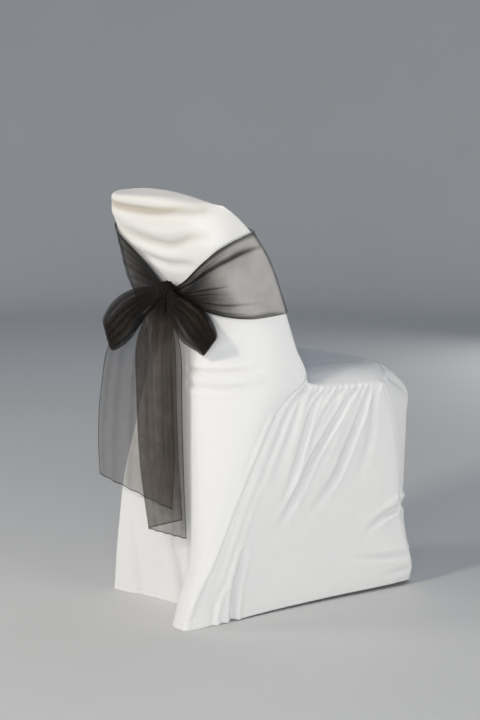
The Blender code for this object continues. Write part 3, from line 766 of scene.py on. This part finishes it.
def black_organza():
    """Sheer black weave. Light that passes it falls off with the power of e for each layer of
    cloth, so its cover is 1 - e^(-0.33 layers); a rolled edge is as dense as four layers. One
    layer alone looks brown and many together black."""
    dye = Dye("black organza")
    from_edge, from_end = dye.map_parts("edge")
    rolled = (1 - from_edge.between(*ROLLED_EDGE)) + (1 - from_end.between(*ROLLED_END))
    slubs = dye.cloud(35) * 0.16 + dye.cloud(420, 1.0) * 0.16
    depth = dye.mark("layers") * (0.17 + slubs) + rolled * 1.2
    cover = 1 - (depth * -1).power_of_e()
    thin = dye.mixed(dye.cloud(9), (0.058, 0.037, 0.023), (0.110, 0.075, 0.046))
    colour = dye.mixed(cover.between(0.15, 0.75), thin, (0.0070, 0.0052, 0.0042))
    weave = dye.relief(dye.cloud(700) * 0.00003 + dye.cloud(60) * 0.0004, 0.2)
    return dye.surface(Base_Color=colour, Roughness=0.44 + dye.cloud(25) * 0.16, Normal=weave,
                       Alpha=cover, Specular_IOR_Level=0.10, Sheen_Weight=0.02,
                       Sheen_Roughness=0.35)


organza = black_organza()


def back_ring(place, level):
    """Points of the cover's back at pairs of a place round it and a height: the rear panel's
    surface on both sides and the inner back's between the seams."""
    points = rear_points()[SEAT_LEVEL:]
    last = points.shape[1] - 1
    column = np.where(place <= BAND_NEAR_SEAM, BAND_NEAR_SEAM - place,
                      last - (place - BAND_NEAR_SEAM - 1))
    across = 2 * (place - BAND_NEAR_SEAM) - 1
    wrapped = np.einsum("pj,ijk->pik", spline_weights(np.clip(column, 0, last), last + 1), points)
    inner = front_lines(np.clip(across, -1, 1))[len(FRONT_LEVELS):].swapaxes(0, 1)
    lines = np.where((np.abs(across) < 1)[:, None, None], inner, wrapped)
    levels = [row[0] for row in REAR_LEVELS[SEAT_LEVEL:]]
    up = spline_weights(np.interp(level, levels, range(len(levels))), len(levels))
    return np.einsum("pi,pik->pk", up, lines)


def ribbon_maps(points, share, cut_end=False):
    """Maps of a strip: length along it and across it, and the distances from its rolled edges
    and from its cut end, which is far away where the strip goes on into the next piece."""
    along, across = lengths(points, 0), SASH_WIDTH * (share + np.zeros((len(points), 1)))
    from_end = 0.05 + 0 * across
    if cut_end:
        from_end = np.minimum(from_end, along[-1:] - along)
    return {"cloth": (along, across),
            "edge": (np.minimum(across, SASH_WIDTH - across), from_end)}


BAND_ROWS, BAND_COLUMNS = 481, 61
place, low, high, lift, doubled = curve(BAND_PLACES, BAND_ROWS).T[..., None]
share = np.linspace(0, 1, BAND_COLUMNS)[None]
band_plain = back_ring((place + 0 * share).ravel(), (low + share * (high - low)).ravel())
band_plain = relaxed(band_plain.reshape(BAND_ROWS, BAND_COLUMNS, 3), times=16)
open_height = SASH_STAND_OFF + lift + 0.0005 * uneven(6.1 * share + 2.3 * place, 2.0, 51)
band_layers = SASH_WIDTH / (high - low) * (1 + 0 * share) * doubled
# A pleat is a bell across the sash. It wanders, widens towards the knot and fades out on the way.
for folds, from_knot in ((BAND_NEAR_FOLDS, place - place[0]), (BAND_FAR_FOLDS, place[-1] - place)):
    for at_knot, at_end, half, height, added, reach in folds:
        centre = at_knot + (at_end - at_knot) * np.clip(from_knot / reach, 0, 1)
        wander = centre + 0.012 * uneven(from_knot, 1.6, int(1000 * at_knot))
        fade = 1 - rising(from_knot, reach)
        bell = np.exp(-((share - wander) / (half * (0.6 + 0.6 * fade))) ** 2) * fade ** 0.6
        open_height = open_height + height * bell
        band_layers = band_layers + added * bell
# Near the knot the lower half lies doubled over, and the rest is thicker and thinner in patches.
doubled_low = rising(0.46 - share, 0.10) * rising(share - 0.10, 0.05)
band_layers = band_layers + 0.45 * doubled_low * (1 - rising(place - 1.45 - 0.5 * share, 0.35))
patches = uneven(place + 0.6 * share, 1.1, 57) + uneven(2.4 * share - 0.7 * place, 1.3, 59)
band_layers = band_layers * (1 + 0.10 * patches)
open_height = open_height + 0.0004 * uneven(3.0 * share + 0.8 * place, 0.9, 61)
band_points = band_plain + outward(band_plain, -1) * open_height[..., None]
band = cloth_object("sash_round_the_back", band_points, ribbon_maps(band_points, share),
                    {"layers": band_layers}, organza, side=-1)

# --------------------------------------------------
# Knot: the middle of the sash, pulled tight into a small hard lump that holds both loops. The
# organza lies many layers deep here, and its folds wrap slantwise over the lump.

KNOT_CENTRE = (-.022, .199, .686)
KNOT_RADII = (.0250, .0150, .0230)
WRAP_HEIGHT, WRAPS = 0.050, 1.9       # height as a share of the radius, and how many to a radius
CREASE_HEIGHT, CREASES = 0.014, 6.1
LUMP_HEIGHT = 0.045
KNOT_RINGS, KNOT_SIDES = 49, 96


def knot_surface(lean, turn):
    """Points of the knot at a lean from its top and a turn about it: an egg whose radius rises
    and falls with two sines across slanting wraps and their creases, and with a slower one for
    the whole lump."""
    x = np.sin(lean) * np.cos(turn)
    y = np.sin(lean) * np.sin(turn)
    z = np.cos(lean) + 0 * turn
    slant = 1.1 * x + 0.55 * z + 0.25 * y
    wraps = WRAP_HEIGHT * np.sin(2 * np.pi * WRAPS * slant + 0.6 * np.sin(2 * turn))
    fine = CREASE_HEIGHT * np.sin(2 * np.pi * CREASES * slant + 1.3 * z)
    lump = LUMP_HEIGHT * np.sin(2.0 * turn + 1.1) * np.sin(lean)
    radius = 1 + (wraps + fine) * np.sin(lean) ** 0.5 + lump
    return np.stack([x, y, z], -1) * radius[..., None] * KNOT_RADII + KNOT_CENTRE


lean = np.linspace(0, np.pi, KNOT_RINGS)[1:-1, None]
turn = np.linspace(0, 2 * np.pi, KNOT_SIDES, endpoint=False)[None]
belts = knot_surface(lean, turn).reshape(-1, 3)
tips = knot_surface(np.array([0.0, np.pi]), np.zeros(2))
number = np.arange(len(belts)).reshape(KNOT_RINGS - 2, KNOT_SIDES)
beside = np.roll(number, -1, axis=1)
belt_quads = np.stack([number[:-1], number[1:], beside[1:], beside[:-1]], -1).reshape(-1, 4)
top_fan = np.stack([np.full(KNOT_SIDES, len(belts)), number[0], beside[0]], -1)
low_fan = np.stack([np.full(KNOT_SIDES, len(belts) + 1), beside[-1], number[-1]], -1)
knot_mesh = bpy.data.meshes.new("sash_knot_wraps")
knot_mesh.from_pydata((np.concatenate([belts, tips]) - REST_POINT).tolist(), [],
                      belt_quads.tolist() + top_fan.tolist() + low_fan.tolist())


def dense_organza():
    """The same black weave many layers deep, where nothing shows through."""
    dye = Dye("black organza, many layers")
    colour = dye.mixed(dye.cloud(40), (0.0035, 0.0030, 0.0026), (0.010, 0.0075, 0.0058))
    weave = dye.relief(dye.cloud(700) * 0.00012 + dye.cloud(120) * 0.0008, 0.5)
    return dye.surface(Base_Color=colour, Roughness=0.44 + dye.cloud(60) * 0.16, Normal=weave,
                       Specular_IOR_Level=0.07, Sheen_Weight=0.01, Sheen_Roughness=0.35)


knot = linked("sash_knot_wraps", knot_mesh, dense_organza())
for piece, node in ((band, "sash_band"), (knot, "sash_knot")):
    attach(piece, "root")
    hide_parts(node)

# --------------------------------------------------
# Bow loops: on each side of the knot the sash goes out, folded in two along its length, turns
# back on itself and returns to the knot. They droop under their own weight.

# Each row is one station along a loop: the middle of the cloth and its width there.
NEAR_LOOP = (
    ((-.040, .207, .685), .024),
    ((-.084, .218, .661), .064),
    ((-.128, .209, .626), .094),
    ((-.160, .197, .598), .072),
    ((-.169, .190, .589), .058),
    ((-.158, .186, .596), .070),
    ((-.122, .189, .624), .086),
    ((-.082, .196, .656), .056),
    ((-.040, .200, .680), .022),
)
FAR_LOOP = (
    ((-.004, .207, .685), .024),
    ((.046, .232, .661), .062),
    ((.098, .247, .620), .088),
    ((.140, .250, .586), .078),
    ((.152, .245, .574), .066),
    ((.142, .238, .580), .074),
    ((.094, .229, .614), .084),
    ((.042, .215, .653), .054),
    ((-.004, .200, .680), .022),
)
LOOP_ROWS, LOOP_COLUMNS = 161, 81
LOOP_LAYERS_APART = 0.0030
# Pleats along a loop: place across it, half width and depth.
LOOP_PLEATS = ((.18, .055, .0035), (.42, .060, .0030), (.63, .050, .0036), (.84, .055, .0028))
PLEAT_LAYERS = 2.0 / 0.0035       # layers that a pleat adds for each metre of its depth
FINE_PLEAT = 0.0012       # height of the fine pleats between them
LOOP_BEND = 0.004         # how far the folded edge strays


def folded_loop(rows, across, seed):
    """Points of a loop, and its layers. Along it the middle follows a curve through the rows;
    across it the cloth runs out to the fold and back, in two layers, with pleats that are bells
    across it and a finer sine between them. The pleats fade out at the knot and at the turn."""
    centre = curve([row[0] for row in rows], LOOP_ROWS)[:, None]
    wide = curve([row[1:] for row in rows], LOOP_ROWS)
    facing = np.cross(np.gradient(centre, axis=0), across)
    facing /= np.linalg.norm(facing, axis=2, keepdims=True)
    share = np.linspace(0, 1, LOOP_COLUMNS)[None]
    spread = np.where(share < 0.5, 2 * share, 2 - 2 * share)
    apart = LOOP_LAYERS_APART * np.tanh((share - 0.5) / 0.05) / 2
    run = np.linspace(0, 1, LOOP_ROWS)[:, None]
    shift = 0.03 * uneven(run, 0.7, seed)
    pleat = sum(depth * np.exp(-((spread - at - shift) / half) ** 2)
                for at, half, depth in LOOP_PLEATS)
    fine = FINE_PLEAT * np.sin(2 * np.pi * (5 * spread + 2 * shift)
                               + 9 * uneven(run, 0.5, seed + 1))
    open_part = rising(np.abs(run - 0.5) - 0.02, 0.16)
    height = apart + (pleat + fine) * rising(wide - 0.02, 0.05) * open_part
    bent = LOOP_BEND * uneven(3 * run + spread, 1.1, seed + 2)
    reach = wide * (spread - 0.5) + bent * spread
    points = centre + reach[..., None] * np.array(across) + height[..., None] * facing
    return points, SASH_WIDTH / wide * (1 + 0 * share) + PLEAT_LAYERS * pleat


for label, rows, across, node, seed in (
        ("near", NEAR_LOOP, (.72, .05, -.69), "bow_loop_near", 61),
        ("far", FAR_LOOP, (-.62, .10, -.78), "bow_loop_far", 67)):
    loop_points, loop_layers = folded_loop(rows, across, seed)
    loop_maps = ribbon_maps(loop_points, np.linspace(0, 1, LOOP_COLUMNS)[None])
    loop = cloth_object(f"sash_bow_loop_{label}", loop_points, loop_maps,
                        {"layers": loop_layers}, organza)
    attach(loop, "root")
    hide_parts(node)

# --------------------------------------------------
# Tails: the sash's two free ends, cut square with rolled hems. The far one hangs open in one
# layer. The near one hangs folded in two along its length, with the rear layer a little higher.

# Each row is one level below the knot: the cloth's far edge and its near edge.
FAR_TAIL = (
    ((-.010, .199, .672), (-.034, .197, .672)),
    ((.060, .212, .630), (-.026, .188, .625)),
    ((.176, .225, .556), (-.010, .183, .550)),
    ((.200, .237, .450), (-.014, .183, .430)),
    ((.205, .242, .350), (-.016, .182, .310)),
    ((.194, .245, .262), (-.004, .181, .214)),
)
NEAR_TAIL = (
    ((-.010, .207, .674), (-.036, .206, .674)),
    ((.026, .234, .620), (-.068, .207, .626)),
    ((.042, .243, .556), (-.086, .205, .560)),
    ((.044, .241, .470), (-.089, .206, .470)),
    ((.033, .242, .330), (-.092, .206, .330)),
    ((-.001, .241, .182), (-.102, .206, .176)),
)
TAIL_ROWS, TAIL_COLUMNS = 161, 91
# Upright pleats of each tail: place across it from the near edge, half width, depth, layers.
FAR_PLEATS = ((.13, .045, .0040, .8), (.34, .060, .0050, .6), (.55, .050, .0045, .8),
              (.76, .060, .0050, .6), (.92, .035, .0030, .6))
NEAR_PLEATS = ((.10, .040, .0030, .6), (.30, .050, .0045, .9), (.52, .050, .0040, .5),
               (.74, .055, .0045, .9), (.93, .035, .0025, .5))
FINE_WAVE, FINE_WAVES = 0.0022, 8     # height of the fine waves between them, and their number
FAR_TAIL_DENSITY = 1.3    # how much denser its fine pleats make the far tail than flat cloth
FOLD_SHARE = 0.52         # the near tail's fold, as a share of the strip's width
BACK_SHARE = 0.80         # width of the near tail's rear layer as a share of the front one
BACK_RISE = 0.034         # how much higher its free edge ends
TAIL_LAYERS_APART = 0.010


def hanging(rows, spread, pleats, seed):
    """Points of a tail at rows down it and shares across it, with the layers that its pleats
    add and its width: ruled between two curves through the rows, with bells for the pleats and
    a finer sine between them that dies out towards the end."""
    far_edge, near_edge = np.split(curve(rows, TAIL_ROWS), 2, axis=1)
    points = near_edge + (far_edge - near_edge) * spread[..., None]
    run = np.linspace(0, 1, TAIL_ROWS)[:, None]
    width = np.linalg.norm(far_edge - near_edge, axis=2)
    shift = 0.035 * uneven(run, 0.9, seed)
    height, added = 0, 0
    for at, half, depth, layers in pleats:
        bell = np.exp(-((spread - at - shift) / half) ** 2)
        height = height + depth * bell
        added = added + layers * bell ** 2 * (1.2 - 0.7 * run)
    fine = np.sin(2 * np.pi * FINE_WAVES * (spread + shift) + 4 * uneven(run, 0.6, seed + 1))
    height = height + FINE_WAVE * fine * (1 - 0.8 * rising(run, 0.8))
    height = height * rising(width, 0.06) * rising(run + 0.12, 0.3)
    return points + outward(points, 1) * height[..., None], added, width


share = np.linspace(0, 1, TAIL_COLUMNS)[None] + np.zeros((TAIL_ROWS, 1))
points, added, width = hanging(FAR_TAIL, share, FAR_PLEATS, 71)
layers = FAR_TAIL_DENSITY * SASH_WIDTH / np.minimum(width, SASH_WIDTH) + added
far_tail = cloth_object("sash_tail_end_far", points, ribbon_maps(points, share, cut_end=True),
                        {"layers": layers}, organza)

spread = np.where(share < FOLD_SHARE, share / FOLD_SHARE,
                  1 - BACK_SHARE * (share - FOLD_SHARE) / (1 - FOLD_SHARE))
points, added, width = hanging(NEAR_TAIL, spread, NEAR_PLEATS, 79)
behind = rising(share - 0.50, 0.05)
points[..., 1] -= TAIL_LAYERS_APART * behind
down = np.linspace(0, 1, TAIL_ROWS)[:, None]
points[..., 2] += BACK_RISE * behind * (1 - spread) / BACK_SHARE * down ** 3
layers = SASH_WIDTH / np.minimum(width, SASH_WIDTH / 2) + added
near_tail = cloth_object("sash_tail_end_near", points, ribbon_maps(points, share, cut_end=True),
                         {"layers": layers}, organza)
for tail, node in ((far_tail, "sash_tail_far"), (near_tail, "sash_tail_near")):
    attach(tail, "root")
    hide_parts(node)

# --------------------------------------------------
# Floor, light and camera: a plain pale floor that curves up into a low round wall, a small warm
# light behind and above, four larger and softer ones round the sides, and an even pale surround.

FLOOR_LEVEL = -REST_POINT[2]
FLAT_RADIUS = 4.6         # level out to here, then the floor sweeps up into a low wall all round
WALL_RADIUS = 6.8
WALL_HEIGHT = 2.6
aside, away = np.meshgrid(np.linspace(-7, 7, 91), np.linspace(-7, 7, 91))
swept = np.clip((np.hypot(aside, away) - FLAT_RADIUS) / (WALL_RADIUS - FLAT_RADIUS), 0, 1)
floor_points = np.dstack([aside, away, FLOOR_LEVEL + WALL_HEIGHT * swept ** 2])


def painted_floor():
    """Matt pale paint with a barely visible unevenness."""
    dye = Dye("pale matt floor")
    colour = dye.mixed(dye.cloud(1.5), (0.68, 0.68, 0.68), (0.72, 0.72, 0.72))
    return dye.surface(Base_Color=colour, Roughness=0.9)


floor = cloth_object("floor", floor_points + REST_POINT, {"cloth": (aside, away)}, {},
                     painted_floor())


def soft_light(name, place, target, size, power, colour):
    """A square area light at a place, aimed at a target."""
    lamp = bpy.data.lights.new(name, "AREA")
    lamp.size, lamp.energy, lamp.color = size, power, colour
    light = bpy.data.objects.new(name, lamp)
    light.location = place
    light.rotation_euler = aimed(place, target)
    bpy.context.collection.objects.link(light)


def aimed(place, target):
    """Rotation that points a light or camera from a place to a target, level with the floor."""
    way = np.subtract(target, place)
    tilt = np.arctan2(np.hypot(way[0], way[1]), -way[2])
    return (tilt, 0, np.arctan2(-way[0], way[1]))


# Name, place, target, size, power and colour of each light.
for light in (("key", (-0.7, 3.2, 1.75), (0, 0, -.38), 0.5, 54, (1.0, 0.90, 0.77)),
              ("side", (-3.4, -0.5, -0.46), (0, 0, -.50), 0.8, 37, (1.0, 0.95, 0.88)),
              ("far", (2.0, 3.2, 0.6), (0, 0, -.38), 1.4, 46, (1.0, 0.96, 0.90)),
              ("rear", (-2.9, 1.9, 0.4), (0, 0, -.38), 1.6, 30, (0.88, 0.94, 1.0)),
              ("front", (1.3, -3.6, -0.2), (0, 0, -.45), 1.6, 24, (1.0, 0.97, 0.93))):
    soft_light(*light)
world = bpy.data.worlds.new("surround")
bpy.context.scene.world = world
world.use_nodes = True
surround = world.node_tree.nodes["Background"].inputs
surround["Color"].default_value = (0.72, 0.84, 1.0, 1)
surround["Strength"].default_value = 0.24

CAMERA_PLACE = (-2.9462, 1.8100, 0.2307)
CAMERA_TARGET = (0.0042, -0.1800, -0.3680)
lens = bpy.data.cameras.new("camera")
lens.lens = 83.2
camera = bpy.data.objects.new("camera", lens)
camera.location = CAMERA_PLACE
camera.rotation_euler = aimed(CAMERA_PLACE, CAMERA_TARGET)
bpy.context.collection.objects.link(camera)
bpy.context.scene.camera = camera
bpy.context.scene.view_settings.view_transform = "Standard"
